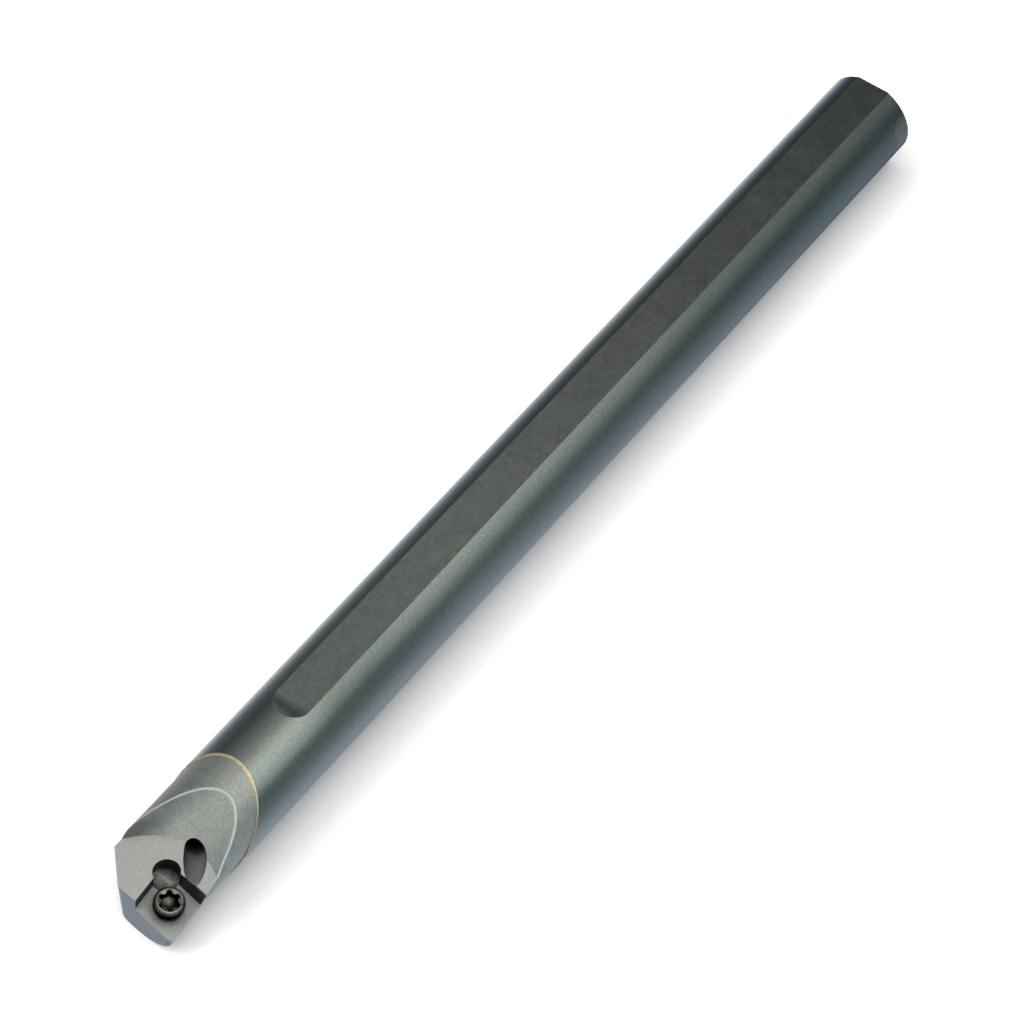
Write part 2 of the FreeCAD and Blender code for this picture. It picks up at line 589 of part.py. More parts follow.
# --------------------------------------------------------------- check, write
doc.recompute()
bad = [(o.Name, o.State) for o in doc.Objects if "Invalid" in o.State or "Error" in o.State]
if bad:
    raise RuntimeError("failed objects: %s" % bad)
os.makedirs("parts", exist_ok=True)
for body in (shank, braze, head, screw):
    shape = body.Shape
    if shape.isNull() or not shape.isValid() or len(shape.Solids) != 1:
        raise RuntimeError("%s: null, invalid or %d solids" % (body.Label, len(shape.Solids)))
    bb = shape.BoundBox
    print("%-12s volume %9.2f  x %.2f..%.2f  y %.2f..%.2f  z %.2f..%.2f" % (
        body.Label, shape.Volume, bb.XMin, bb.XMax, bb.YMin, bb.YMax, bb.ZMin, bb.ZMax))
    shape.exportStep("parts/" + body.Label + ".step")
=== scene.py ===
import math
import bpy
import bmesh
from mathutils import Matrix, Vector


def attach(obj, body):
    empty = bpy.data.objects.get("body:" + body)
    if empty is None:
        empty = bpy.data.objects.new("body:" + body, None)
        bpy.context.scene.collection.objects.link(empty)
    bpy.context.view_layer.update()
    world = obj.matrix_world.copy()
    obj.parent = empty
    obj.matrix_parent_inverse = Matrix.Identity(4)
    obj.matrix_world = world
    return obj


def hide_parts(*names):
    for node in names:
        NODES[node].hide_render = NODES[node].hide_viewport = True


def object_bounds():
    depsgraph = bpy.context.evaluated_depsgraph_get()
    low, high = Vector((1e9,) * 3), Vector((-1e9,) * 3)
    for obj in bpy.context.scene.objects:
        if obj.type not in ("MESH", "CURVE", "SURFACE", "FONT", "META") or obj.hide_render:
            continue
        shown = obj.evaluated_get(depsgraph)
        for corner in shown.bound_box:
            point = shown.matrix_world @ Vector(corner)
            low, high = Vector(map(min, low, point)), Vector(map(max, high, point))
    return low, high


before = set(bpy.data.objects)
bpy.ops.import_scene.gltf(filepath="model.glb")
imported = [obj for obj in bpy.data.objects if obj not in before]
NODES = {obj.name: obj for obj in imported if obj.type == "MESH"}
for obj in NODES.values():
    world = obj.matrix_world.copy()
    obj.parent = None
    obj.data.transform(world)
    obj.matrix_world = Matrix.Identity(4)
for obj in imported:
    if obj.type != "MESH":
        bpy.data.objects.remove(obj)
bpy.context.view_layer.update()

MM = 0.001

# seat frame (millimetres): origin on the seat floor, in the screw's axis
SEAT = Vector((145.36, 3.048, -1.675))
TILT = math.radians(11.585)
U = Vector((1.0, 0.0, 0.0))
V = Vector((0.0, math.cos(TILT), -math.sin(TILT)))
W = Vector((0.0, math.sin(TILT), math.cos(TILT)))


# ------------------------------------------------------------- node helpers
class Tree:
    """Short calls for building a node tree."""

    def __init__(self, tree):
        self.t = tree
        tree.nodes.clear()

    def node(self, kind, **props):
        n = self.t.nodes.new(kind)
        for k, v in props.items():
            setattr(n, k, v)
        return n

    def put(self, socket, value):
        if isinstance(value, bpy.types.NodeSocket):
            self.t.links.new(value, socket)
        else:
            socket.default_value = value

    def math(self, op, a, b=0.0, c=None, clamp=False):
        n = self.node("ShaderNodeMath", operation=op, use_clamp=clamp)
        self.put(n.inputs[0], a)
        self.put(n.inputs[1], b)
        if c is not None:
            self.put(n.inputs[2], c)
        return n.outputs[0]

    def span(self, value, a, b, c=0.0, d=1.0, smooth=False):
        n = self.node("ShaderNodeMapRange", interpolation_type="SMOOTHSTEP" if smooth else "LINEAR")
        self.put(n.inputs["Value"], value)
        self.put(n.inputs["From Min"], a)
        self.put(n.inputs["From Max"], b)
        self.put(n.inputs["To Min"], c)
        self.put(n.inputs["To Max"], d)
        return n.outputs[0]

    def mix(self, f, a, b, blend="MIX"):
        n = self.node("ShaderNodeMix", data_type="RGBA", blend_type=blend)
        self.put(n.inputs[0], f)
        self.put(n.inputs[6], a if not isinstance(a, tuple) else (*a, 1.0))
        self.put(n.inputs[7], b if not isinstance(b, tuple) else (*b, 1.0))
        return n.outputs[2]

    def mixf(self, f, a, b):
        n = self.node("ShaderNodeMix", data_type="FLOAT")
        self.put(n.inputs[0], f)
        self.put(n.inputs[2], a)
        self.put(n.inputs[3], b)
        return n.outputs[0]

    def ramp(self, value, stops, mode="LINEAR"):
        n = self.node("ShaderNodeValToRGB")
        n.color_ramp.interpolation = mode
        e = n.color_ramp.elements
        while len(e) > 1:
            e.remove(e[-1])
        e[0].position = stops[0][0]
        for k, (p, c) in enumerate(stops):
            el = e[0] if k == 0 else e.new(p)
            el.position = p
            el.color = (c, c, c, 1.0) if isinstance(c, float) else (*c, 1.0)
        self.put(n.inputs[0], value)
        return n.outputs[0]

    def noise(self, vector, scale, detail=2.0, rough=0.5, distort=0.0):
        n = self.node("ShaderNodeTexNoise")
        self.put(n.inputs["Vector"], vector)
        self.put(n.inputs["Scale"], scale)
        self.put(n.inputs["Detail"], detail)
        self.put(n.inputs["Roughness"], rough)
        self.put(n.inputs["Distortion"], distort)
        return n.outputs[0]

    def scaled(self, vector, x, y, z):
        n = self.node("ShaderNodeVectorMath", operation="MULTIPLY")
        self.put(n.inputs[0], vector)
        n.inputs[1].default_value = (x, y, z)
        return n.outputs[0]

    def dot(self, vector, d):
        n = self.node("ShaderNodeVectorMath", operation="DOT_PRODUCT")
        self.put(n.inputs[0], vector)
        n.inputs[1].default_value = tuple(d)
        return n.outputs["Value"]

    def xyz(self, vector):
        n = self.node("ShaderNodeSeparateXYZ")
        self.put(n.inputs[0], vector)
        return n.outputs[0], n.outputs[1], n.outputs[2]

    def bump(self, height, strength, distance, normal=None):
        n = self.node("ShaderNodeBump")
        self.put(n.inputs["Height"], height)
        self.put(n.inputs["Strength"], strength)
        self.put(n.inputs["Distance"], distance)
        if normal is not None:
            self.put(n.inputs["Normal"], normal)
        return n.outputs[0]


def material(name):
    m = bpy.data.materials.new(name)
    m.use_nodes = True
    T = Tree(m.node_tree)
    out = T.node("ShaderNodeOutputMaterial")
    bsdf = T.node("ShaderNodeBsdfPrincipled")
    m.node_tree.links.new(bsdf.outputs[0], out.inputs[0])
    # object coordinates in millimetres: every node and piece sits at the origin
    tc = T.node("ShaderNodeTexCoord")
    pos = T.scaled(tc.outputs["Object"], 1000.0, 1000.0, 1000.0)
    return m, T, bsdf, pos


def edge_mask(T, radius, lo, hi):
    """1 on and beside sharp edges, 0 elsewhere: how far a rounded normal leaves the true one."""
    bev = T.node("ShaderNodeBevel", samples=8)
    bev.inputs["Radius"].default_value = radius
    geo = T.node("ShaderNodeNewGeometry")
    d = T.node("ShaderNodeVectorMath", operation="DOT_PRODUCT")
    T.put(d.inputs[0], bev.outputs[0])
    T.put(d.inputs[1], geo.outputs["Normal"])
    return T.span(d.outputs["Value"], hi, lo, 0.0, 1.0)


# ---------------------------------------------------------------- materials
def shank_material():
    m, T, b, pos = material("carbide_ground")
    geo = T.node("ShaderNodeNewGeometry")
    nx, ny, nz = T.xyz(geo.outputs["True Normal"])
    x, y, z = T.xyz(pos)
    # the milled flat and its run-out
    flat = T.math("MULTIPLY", T.math("GREATER_THAN", nz, 0.97),
                  T.math("LESS_THAN", T.math("ABSOLUTE", T.math("SUBTRACT", z, 5.5)), 0.03))
    runout = T.math("MULTIPLY", T.math("LESS_THAN", nx, -0.02),
                    T.math("MULTIPLY", T.math("GREATER_THAN", x, 118.9), T.math("LESS_THAN", x, 126.0)))
    milled = T.math("MAXIMUM", flat, runout)
    # colour: large soft clouds, then grain
    cloud = T.noise(T.scaled(pos, 0.03, 0.12, 0.12), 1.0, 2.0, 0.5)
    grain = T.noise(pos, 3.2, 3.0, 0.65)
    fine = T.noise(T.scaled(pos, 1.0, 1.0, 1.0), 9.0, 2.0, 0.6)
    # grinding marks run round the bar: narrow along x
    marks = T.noise(T.scaled(pos, 6.0, 0.25, 0.25), 1.0, 3.0, 0.6)
    col = T.mix(T.span(cloud, 0.3, 0.7), (0.245, 0.275, 0.268), (0.288, 0.318, 0.305))
    col = T.mix(T.span(grain, 0.30, 0.70), col, T.mix(1.0, col, (1.34, 1.32, 1.27), "MULTIPLY"))
    col = T.mix(T.math("MULTIPLY", T.span(fine, 0.50, 0.72), 0.55), col, T.mix(1.0, col, (0.58, 0.61, 0.62), "MULTIPLY"))
    # the flat: greyer, with a faint crossed mottling left by the cutter
    swirl = T.noise(T.scaled(pos, 0.55, 0.8, 0.8), 1.0, 4.0, 0.62, 1.4)
    fcol = T.mix(T.span(swirl, 0.3, 0.7), (0.245, 0.263, 0.248), (0.325, 0.342, 0.322))
    arcs = T.math("SQRT", T.math("ADD", T.math("POWER", T.math("SUBTRACT", x, T.math("MULTIPLY", T.math("FLOOR", T.math("DIVIDE", x, 8.5)), 8.5)), 2.0),
                  T.math("POWER", T.math("ADD", y, 3.0), 2.0)))
    arcs = T.math("SINE", T.math("MULTIPLY", arcs, 5.2))
    arcs = T.math("MULTIPLY", T.span(arcs, -1.0, 1.0), T.span(T.noise(pos, 0.35, 2.0, 0.5), 0.40, 0.70))
    fcol = T.mix(T.math("MULTIPLY", arcs, 0.5), fcol, T.mix(1.0, fcol, (1.12, 1.12, 1.12), "MULTIPLY"))
    fcol = T.mix(T.math("MULTIPLY", T.span(grain, 0.35, 0.7), 0.6), fcol, T.mix(1.0, fcol, (1.24, 1.24, 1.22), "MULTIPLY"))
    fcol = T.mix(T.math("MULTIPLY", T.span(fine, 0.52, 0.74), 0.4), fcol, T.mix(1.0, fcol, (0.66, 0.68, 0.68), "MULTIPLY"))
    # painted shade: darker bands round the bar's upper +Y side near the flat's end, and darker low on its +Y side
    # towards the rear end
    phi = T.math("ARCTAN2", z, y)
    deg = T.math("MULTIPLY", phi, 180.0 / math.pi)
    painted_shade_band1 = T.math("MULTIPLY", T.math("MULTIPLY", T.span(deg, 8.0, 25.0, smooth=True), T.span(deg, 49.0, 40.0, smooth=True)), T.span(x, 92.0, 108.0, smooth=True))
    painted_shade_band2 = T.math("MULTIPLY", T.math("MULTIPLY", T.span(deg, 36.0, 47.0, smooth=True), T.span(deg, 74.0, 68.0, smooth=True)),
                   T.math("MULTIPLY", T.span(x, 96.0, 110.0, smooth=True), T.span(x, 122.0, 115.0, smooth=True)))
    # only on the round skin, not on the rear face
    radius = T.math("SQRT", T.math("ADD", T.math("MULTIPLY", y, y), T.math("MULTIPLY", z, z)))
    skin = T.span(T.math("ADD", radius, T.math("MULTIPLY", cloud, 0.6)), 5.35, 6.05, smooth=True)
    low = T.math("MULTIPLY", T.math("MULTIPLY", T.span(deg, 3.0, -14.0, smooth=True), T.span(deg, -150.0, -90.0, smooth=True)), skin)
    rear = T.mixf(low, 1.0, T.span(x, 0.0, 60.0, 0.58, 1.0))
    # the painted shade, multiplied into the colour
    uneven = T.math("MULTIPLY", T.math("MULTIPLY", T.mixf(painted_shade_band1, 1.0, 0.78), T.mixf(painted_shade_band2, 1.0, 0.74)), rear)
    col = T.mix(1.0, col, uneven, "MULTIPLY")
    # painted light and shade along the flat: darker towards the rear, brighter at the run-out
    painted_light_along_flat = T.ramp(T.span(x, 0.0, 126.0), [(0.04, 0.72), (0.24, 0.83), (0.476, 1.0), (0.714, 1.08), (0.889, 0.92), (0.943, 0.92), (0.957, 1.12), (0.972, 1.46), (1.0, 1.62)])
    fcol = T.mix(1.0, fcol, painted_light_along_flat, "MULTIPLY")
    col = T.mix(milled, col, fcol)
    col = T.mix(1.0, col, T.ramp(T.span(x, 0.0, 55.0), [(0.0, (0.97, 1.0, 1.06)), (1.0, (1.0, 1.0, 1.0))]), "MULTIPLY")
    # a rubbed brownish place at the rear end, on the cutting side
    rub = T.math("MULTIPLY", T.span(T.math("ADD", x, T.math("MULTIPLY", T.noise(pos, 0.8, 3.0, 0.6), 1.6)), 3.75, 3.40),
                 T.math("MULTIPLY", T.span(phi, -0.75, -0.6), T.span(T.math("ADD", phi, T.math("MULTIPLY", x, 0.06)), 0.72, 0.62)))
    rub = T.math("MULTIPLY", rub, skin)
    col = T.mix(T.math("MULTIPLY", rub, 0.85), col, T.mix(1.0, T.mix(0.5, col, (0.30, 0.30, 0.30)), (1.62, 1.40, 1.24), "MULTIPLY"))
    T.put(b.inputs["Base Color"], col)
    b.inputs["Metallic"].default_value = 1.0
    rough = T.mixf(T.span(marks, 0.25, 0.75), 0.24, 0.265)
    rough = T.mixf(milled, rough, T.mixf(T.span(swirl, 0.3, 0.7), 0.31, 0.37))
    T.put(b.inputs["Roughness"], rough)
    h = T.math("ADD", T.math("MULTIPLY", grain, 0.6), T.math("MULTIPLY", marks, T.mixf(milled, 0.03, 0.0)))
    h = T.math("ADD", h, T.math("MULTIPLY", fine, 0.35))
    T.put(b.inputs["Normal"], T.bump(h, 0.4, 0.000010))
    return m


def head_material():
    m, T, b, pos = material("steel_blasted")
    geo = T.node("ShaderNodeNewGeometry")
    nrm = geo.outputs["True Normal"]
    x, y, z = T.xyz(pos)
    # place in the seat's own frame
    rel = T.node("ShaderNodeVectorMath", operation="SUBTRACT")
    T.put(rel.inputs[0], pos)
    rel.inputs[1].default_value = tuple(SEAT)
    u, v, w = (T.dot(rel.outputs[0], d) for d in (U, V, W))
    nu, nv, nw = (T.dot(nrm, d) for d in (U, V, W))

    def near(a, b, c, d):
        """1 where (a, b) is within c of the origin, fading out over d."""
        r = T.math("SQRT", T.math("ADD", T.math("MULTIPLY", a, a), T.math("MULTIPLY", b, b)))
        return T.span(r, c + d, c), r

    mott = T.noise(pos, 0.55, 3.0, 0.55, 0.6)
    patch = T.noise(pos, 1.6, 3.0, 0.6, 0.8)
    grain = T.noise(pos, 3.6, 3.0, 0.74)
    speck = T.noise(T.scaled(pos, 8.0, 11.0, 9.0), 1.0, 2.0, 0.6, 0.8)
    col = T.mix(T.span(mott, 0.3, 0.7), (0.400, 0.414, 0.390), (0.458, 0.466, 0.440))
    col = T.mix(T.span(grain, 0.30, 0.68), T.mix(1.0, col, (0.76, 0.78, 0.78), "MULTIPLY"), T.mix(1.0, col, (1.18, 1.18, 1.17), "MULTIPLY"))
    col = T.mix(T.math("MULTIPLY", T.span(speck, 0.54, 0.70), 0.62), col, T.mix(1.0, col, (0.52, 0.54, 0.54), "MULTIPLY"))

    nick = T.noise(T.scaled(pos, 2.2, 9.0, 9.0), 1.0, 2.0, 0.5, 1.6)
    nick = T.math("MULTIPLY", T.span(nick, 0.665, 0.70), T.span(T.noise(pos, 0.45, 2.0, 0.5), 0.48, 0.60))
    col = T.mix(T.math("MULTIPLY", nick, 0.55), col, T.mix(1.0, col, (1.45, 1.45, 1.42), "MULTIPLY"))

    # level faces in front: the flat top and the seat's floor are milled smoother and paler
    top = T.math("MULTIPLY", T.math("GREATER_THAN", T.dot(nrm, (0, 0, 1)), 0.99), T.math("LESS_THAN", T.math("ABSOLUTE", T.math("SUBTRACT", z, 0.9)), 0.03))
    floor = T.math("MULTIPLY", T.math("GREATER_THAN", nw, 0.99), T.math("LESS_THAN", T.math("ABSOLUTE", w), 0.05))
    level = T.math("MAXIMUM", top, floor)
    lcol = T.mix(T.span(patch, 0.3, 0.7), (0.408, 0.411, 0.396), (0.462, 0.465, 0.446))
    lcol = T.mix(T.span(grain, 0.3, 0.7), T.mix(1.0, lcol, (0.90, 0.91, 0.91), "MULTIPLY"), T.mix(1.0, lcol, (1.08, 1.08, 1.07), "MULTIPLY"))
    lcol = T.mix(floor, lcol, T.mix(1.0, lcol, (0.77, 0.77, 0.77), "MULTIPLY"))
    col = T.mix(level, col, lcol)

    # dark places: seat walls, corner relief, coolant outlet, all left unblasted; their dark colour is painted shade
    upright = T.span(T.math("ABSOLUTE", nw), 0.35, 0.25)
    inside = T.math("MULTIPLY", T.math("MULTIPLY", T.math("LESS_THAN", w, 2.75), T.math("GREATER_THAN", w, -0.75)), upright)
    rear = T.math("MULTIPLY", inside, T.math("MULTIPLY", T.math("GREATER_THAN", nu, 0.85),
                  T.math("MULTIPLY", T.math("LESS_THAN", u, -1.9), T.math("GREATER_THAN", u, -3.6))))
    left = T.math("MULTIPLY", inside, T.math("MULTIPLY", T.math("GREATER_THAN", nv, 0.85),
                  T.math("MULTIPLY", T.math("LESS_THAN", v, -1.9), T.math("GREATER_THAN", v, -3.6))))
    # painted shade on the rear and left walls: darkest low down on the rear wall and towards the corner on the left
    # wall
    rcol = T.ramp(T.span(T.math("ADD", w, T.math("MULTIPLY", patch, 0.5)), 0.0, 3.0), [(0.0, 0.006), (0.40, 0.016), (0.70, 0.060), (1.0, 0.130)])
    col = T.mix(rear, col, rcol)
    lw = T.ramp(T.span(T.math("ADD", u, patch), -1.5, 3.1), [(0.0, 0.003), (0.5, 0.014), (1.0, 0.046)])
    col = T.mix(left, col, lw)
    bore, _ = near(T.math("SUBTRACT", u, -2.484), T.math("SUBTRACT", v, -2.535), 1.62, 0.02)
    # painted shade: the relief bore's wall black
    bore_wall = T.math("MULTIPLY", bore, T.math("MULTIPLY", upright, T.math("GREATER_THAN", w, -0.72)))
    col = T.mix(bore_wall, col, (0.002, 0.002, 0.002))
    # relief floor: blotchy, with painted shade: brightest across its middle, darker towards either end along the bar
    rfloor = T.math("MULTIPLY", bore, T.math("MULTIPLY", T.math("GREATER_THAN", nw, 0.9), T.math("LESS_THAN", w, -0.3)))
    depth = T.span(T.math("ADD", u, T.math("MULTIPLY", v, 0.25)), -4.75, -1.75)
    rf = T.ramp(T.math("ADD", depth, T.math("MULTIPLY", T.math("SUBTRACT", patch, 0.5), 0.5)),
                [(0.0, 0.12), (0.20, 0.25), (0.40, 0.30), (0.65, 0.22), (0.85, 0.12), (1.0, 0.08)])
    rf = T.mix(1.0, rf, T.ramp(T.noise(pos, 1.25, 2.0, 0.55, 0.4), [(0.30, 0.62), (0.48, 0.95), (0.66, 1.55)]), "MULTIPLY")
    col = T.mix(rfloor, col, T.mix(1.0, rf, (1.0, 1.0, 0.95), "MULTIPLY"))
    # painted shadow on the seat's floor under and round the screw's head
    _, rs = near(u, v, 1.0, 1.0)
    rs = T.math("ADD", rs, T.math("MULTIPLY", T.math("SUBTRACT", patch, 0.5), 0.30))
    painted_screw_shadow = T.ramp(T.span(rs, 1.25, 3.0), [(0.0, 0.02), (0.10, 0.05), (0.18, 0.42), (0.28, 0.78), (0.52, 0.92), (1.0, 1.0)])
    col = T.mix(floor, col, T.mix(1.0, col, painted_screw_shadow, "MULTIPLY"))
    # tapped hole under the screw, painted black inside as shade
    hole, _ = near(u, v, 1.29, 0.02)
    col = T.mix(T.math("MULTIPLY", hole, T.math("LESS_THAN", w, 0.01)), col, (0.02, 0.02, 0.02))
    # coolant outlet: painted shade, black inside and grey towards its front, with the drill's rings
    od, ot = math.radians(20.15), math.radians(37.8)
    axis = Vector((math.cos(od) * math.cos(ot), math.cos(od) * math.sin(ot), math.sin(od)))
    mouth = Vector((139.45, 2.256, 0.9))
    rel2 = T.node("ShaderNodeVectorMath", operation="SUBTRACT")
    T.put(rel2.inputs[0], pos)
    rel2.inputs[1].default_value = tuple(mouth)
    t = T.dot(rel2.outputs[0], axis)
    away = T.node("ShaderNodeVectorMath", operation="CROSS_PRODUCT")
    T.put(away.inputs[0], rel2.outputs[0])
    away.inputs[1].default_value = tuple(axis)
    ln = T.node("ShaderNodeVectorMath", operation="LENGTH")
    T.put(ln.inputs[0], away.outputs[0])
    outlet = T.math("MULTIPLY", T.math("LESS_THAN", ln.outputs["Value"], 1.335), T.math("GREATER_THAN", t, -4.1))
    rings = T.math("SINE", T.math("MULTIPLY", T.math("ADD", t, T.math("MULTIPLY", patch, 0.10)), 2 * math.pi / 0.30))
    shade = T.ramp(T.span(T.math("ADD", t, T.math("MULTIPLY", rings, 0.05)), -4.0, 4.0),
                   [(0.0, 0.0), (0.08, 0.004), (0.16, 0.032), (0.24, 0.065), (0.29, 0.13), (0.34, 0.15), (0.47, 0.145), (0.60, 0.130), (0.77, 0.115), (1.0, 0.125)])
    shade = T.mix(1.0, shade, T.ramp(T.span(rings, -1.0, 1.0), [(0.0, 0.74), (1.0, 1.22)]), "MULTIPLY")
    # painted shade: darker towards the outlet's sides
    beside = T.math("ABSOLUTE", T.dot(rel2.outputs[0], (-math.sin(ot), math.cos(ot), 0.0)))
    shade = T.mix(1.0, shade, T.ramp(T.span(beside, 0.55, 1.33), [(0.0, (1.0, 1.03, 1.01)), (0.6, (0.74, 0.77, 0.76)), (1.0, (0.34, 0.36, 0.36))]), "MULTIPLY")
    col = T.mix(outlet, col, shade)

    # ground front faces, bluish beside the blasted skin
    front = T.math("MULTIPLY", T.math("GREATER_THAN", T.dot(nrm, (1, 0, 0)), 0.55), T.math("GREATER_THAN", x, 143.5))
    front = T.math("MULTIPLY", front, T.math("LESS_THAN", T.math("ADD", rear, left), 0.5))
    gcol = T.mix(T.span(patch, 0.3, 0.7), (0.292, 0.316, 0.340), (0.332, 0.354, 0.376))
    gcol = T.mix(T.span(grain, 0.3, 0.7), T.mix(1.0, gcol, (0.92, 0.92, 0.92), "MULTIPLY"), T.mix(1.0, gcol, (1.07, 1.07, 1.07), "MULTIPLY"))
    col = T.mix(front, col, gcol)
    dark = T.math("MAXIMUM", T.math("MAXIMUM", rear, left), T.math("MAXIMUM", bore_wall, outlet))
    # painted shade: ambient occlusion darkens closed corners
    ao = T.node("ShaderNodeAmbientOcclusion", samples=8)
    ao.inputs["Distance"].default_value = 0.0012
    painted_shade_factor = T.span(ao.outputs["AO"], 0.25, 0.9, 0.42, 1.0)
    painted_shade_factor = T.mixf(floor, painted_shade_factor, T.math("ADD", T.math("MULTIPLY", painted_shade_factor, 0.35), 0.65))
    painted_shade_factor = T.mixf(T.math("MAXIMUM", dark, T.math("GREATER_THAN", z, 0.85)), painted_shade_factor, 1.0)
    # painted shade: the gullet darker towards its low left end
    painted_gullet_shade = T.math("MULTIPLY", T.math("MULTIPLY", T.span(y, -1.5, -4.2, smooth=True), T.span(z, 4.2, 2.2, smooth=True)),
                  T.math("MULTIPLY", T.math("GREATER_THAN", z, 0.92), T.math("GREATER_THAN", T.dot(nrm, (1, 0, 0)), 0.3)))
    painted_shade_factor = T.math("MULTIPLY", painted_shade_factor, T.mixf(painted_gullet_shade, 1.0, T.span(y, -3.2, -5.0, 0.72, 0.52, smooth=True)))
    painted_shade_colour = T.node("ShaderNodeCombineColor")
    for k in range(3):
        T.put(painted_shade_colour.inputs[k], painted_shade_factor)
    col = T.mix(1.0, col, painted_shade_colour.outputs[0], "MULTIPLY")

    # worn bright line on the outer edges, partly a painted highlight
    wear_and_edge_highlight = edge_mask(T, 0.00006, 0.93, 0.995)
    wear_and_edge_highlight = T.math("MULTIPLY", wear_and_edge_highlight, T.span(T.noise(pos, 5.2, 3.0, 0.75), 0.40, 0.60, 0.15, 1.0))
    wear_and_edge_highlight = T.math("MULTIPLY", wear_and_edge_highlight, T.mixf(dark, 1.0, 0.0))
    slant = T.math("MULTIPLY", T.math("GREATER_THAN", z, 0.93), T.math("LESS_THAN", x, 143.6))
    wear_and_edge_highlight = T.math("MULTIPLY", wear_and_edge_highlight, T.mixf(slant, 1.0, 0.0))
    # the gullet's broken edge: just under the outer skin, neither skin nor wall
    share = T.span(x, 138.2, 142.9)
    by, bz = T.math("SUBTRACT", y, T.math("MULTIPLY", share, 0.40)), T.math("SUBTRACT", z, T.math("MULTIPLY", share, 0.05))
    rad = T.math("SQRT", T.math("ADD", T.math("MULTIPLY", y, y), T.math("MULTIPLY", z, z)))
    brad = T.math("SQRT", T.math("ADD", T.math("MULTIPLY", by, by), T.math("MULTIPLY", bz, bz)))
    under = T.math("MAXIMUM", T.math("SUBTRACT", 5.83, rad), T.math("SUBTRACT", T.math("ADD", 5.82, T.math("MULTIPLY", share, 0.40)), brad))
    nx, ny, nz = T.xyz(nrm)
    face = T.math("DIVIDE", T.math("ADD", T.math("MULTIPLY", y, ny), T.math("MULTIPLY", z, nz)), rad)
    broken = T.math("MULTIPLY", T.math("MULTIPLY", T.span(under, 0.110, 0.070), T.math("LESS_THAN", face, 0.985)),
                    T.math("MULTIPLY", T.math("GREATER_THAN", face, 0.05), T.math("MULTIPLY", T.math("GREATER_THAN", nx, 0.08), slant)))
    broken = T.math("MULTIPLY", broken, T.span(T.noise(pos, 4.6, 4.0, 0.78), 0.38, 0.60, 0.30, 1.0))
    wear_and_edge_highlight = T.math("MAXIMUM", wear_and_edge_highlight, broken)
    joint = T.math("SUBTRACT", T.math("ADD", x, T.math("MULTIPLY", z, 0.88)), 134.43)
    wear_and_edge_highlight = T.math("MULTIPLY", wear_and_edge_highlight, T.span(joint, 0.6, 0.9))
    # and a fine bright line, worn and partly a painted highlight, where the gullet meets the flat top
    arc = T.math("MULTIPLY", T.math("MULTIPLY", T.math("GREATER_THAN", z, 0.89), T.math("LESS_THAN", z, 0.995)),
                 T.math("MULTIPLY", T.math("LESS_THAN", T.dot(nrm, (0, 0, 1)), 0.97), T.math("GREATER_THAN", T.dot(nrm, (0, 0, 1)), 0.30)))
    arc = T.math("MULTIPLY", arc, T.math("MULTIPLY", T.math("LESS_THAN", x, 143.4), T.math("GREATER_THAN", T.dot(nrm, (1, 0, 0)), 0.2)))
    arc = T.math("MULTIPLY", arc, T.span(T.math("ADD", y, T.math("MULTIPLY", patch, 3.0)), 0.4, 3.4, 0.05, 0.90))
    arc = T.math("MULTIPLY", arc, T.mixf(dark, 1.0, 0.0))
    col = T.mix(T.math("MULTIPLY", wear_and_edge_highlight, 0.85), col, (0.54, 0.54, 0.51))
    col = T.mix(T.math("MULTIPLY", arc, 0.85), col, (0.80, 0.80, 0.77))
    T.put(b.inputs["Base Color"], col)
    metal = T.mixf(level, 0.92, 0.66)
    metal = T.mixf(T.math("MAXIMUM", dark, front), metal, 1.0)
    metal = T.mixf(outlet, metal, 0.30)
    T.put(b.inputs["Metallic"], metal)
    T.put(b.inputs["Roughness"], T.mixf(dark, T.mixf(T.span(mott, 0.3, 0.7), 0.44, 0.52), 0.42))
    h = T.math("ADD", T.math("MULTIPLY", grain, 0.7), T.math("MULTIPLY", speck, 0.5))
    h = T.math("MULTIPLY", h, T.mixf(level, 1.0, 0.6))
    h = T.math("ADD", h, T.math("MULTIPLY", T.math("MULTIPLY", rings, outlet), 0.5))
    T.put(b.inputs["Normal"], T.bump(h, 0.7, 0.000018))
    return m


def braze_material():
    m, T, b, pos = material("braze_metal")
    blot = T.noise(pos, 1.6, 3.0, 0.6, 0.5)
    grain = T.noise(pos, 9.0, 2.0, 0.6)
    col = T.mix(T.span(blot, 0.3, 0.7), (0.74, 0.55, 0.32), (0.98, 0.84, 0.60))
    col = T.mix(T.math("MULTIPLY", T.span(grain, 0.55, 0.8), 0.4), col, T.mix(1.0, col, (0.6, 0.55, 0.5), "MULTIPLY"))
    x, y, z = T.xyz(pos)
    # painted reflection and shade: greyer about 30 degrees above the +Y side, browner and darker below it
    around = T.math("ARCTAN2", z, y)
    painted_reflection_grey = T.math("MULTIPLY", T.span(around, 1.25, 0.60), T.span(around, 0.05, 0.50, 0.0, 1.0))
    col = T.mix(painted_reflection_grey, col, T.mix(1.0, col, (0.64, 0.74, 0.97), "MULTIPLY"))
    col = T.mix(T.span(around, 0.50, 0.05), col, T.mix(1.0, col, (0.80, 0.74, 0.66), "MULTIPLY"))
    T.put(b.inputs["Base Color"], col)
    b.inputs["Metallic"].default_value = 1.0
    T.put(b.inputs["Roughness"], T.span(blot, 0.2, 0.8, 0.30, 0.46))
    T.put(b.inputs["Normal"], T.bump(T.math("ADD", blot, T.math("MULTIPLY", grain, 0.4)), 0.6, 0.00003))
    return m


